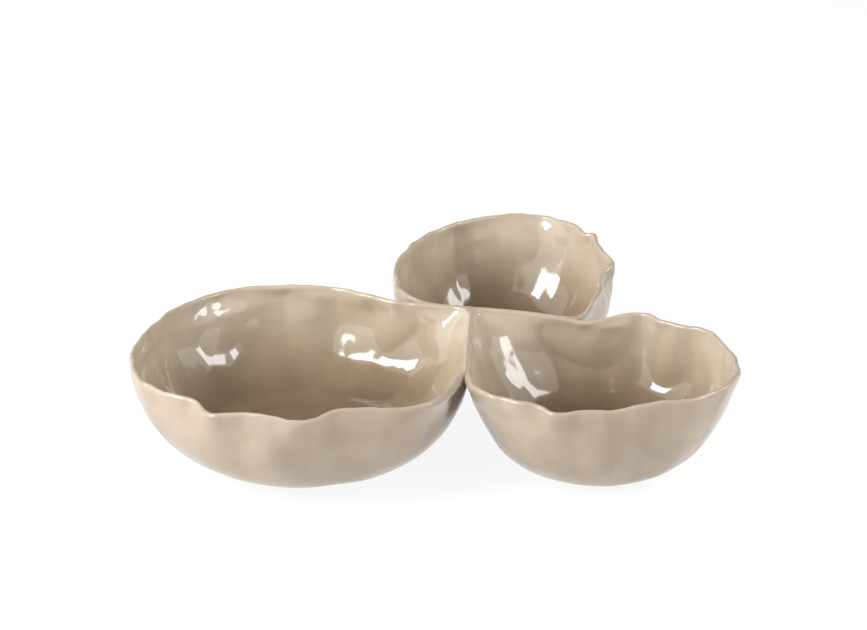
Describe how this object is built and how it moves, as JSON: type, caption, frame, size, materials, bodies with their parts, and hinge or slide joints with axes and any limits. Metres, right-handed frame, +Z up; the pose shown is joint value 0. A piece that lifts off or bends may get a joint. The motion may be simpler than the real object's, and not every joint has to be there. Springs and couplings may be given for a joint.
{
  "type": "divided serving bowl",
  "caption": "Glazed stoneware serving dish made of hand-shaped bowls of unequal size joined at their wavy rims, for keeping snacks and dips apart on the table.",
  "frame": {"origin": "middle of the bounding box in plan, on the table under the foot rings", "axes": "+X towards the front bowl's side of the dish, with the large bowl on -X, +Y towards the rear bowl, +Z up"},
  "size_m": [0.3311, 0.2927, 0.0686],
  "materials": {
    "glazed_stoneware": "glossy warm taupe glaze, slightly mottled, darker where it pools",
    "bare_clay": "matt unglazed fired clay"
  },
  "bodies": {
    "root": {"large_bowl": "glazed_stoneware", "front_bowl": "glazed_stoneware", "rear_bowl": "glazed_stoneware", "front_coil": "glazed_stoneware", "left_coil": "glazed_stoneware", "right_coil": "glazed_stoneware", "hub_wad": "glazed_stoneware", "large_foot": "bare_clay", "front_foot": "bare_clay", "rear_foot": "bare_clay"}
  },
  "joints": []
}
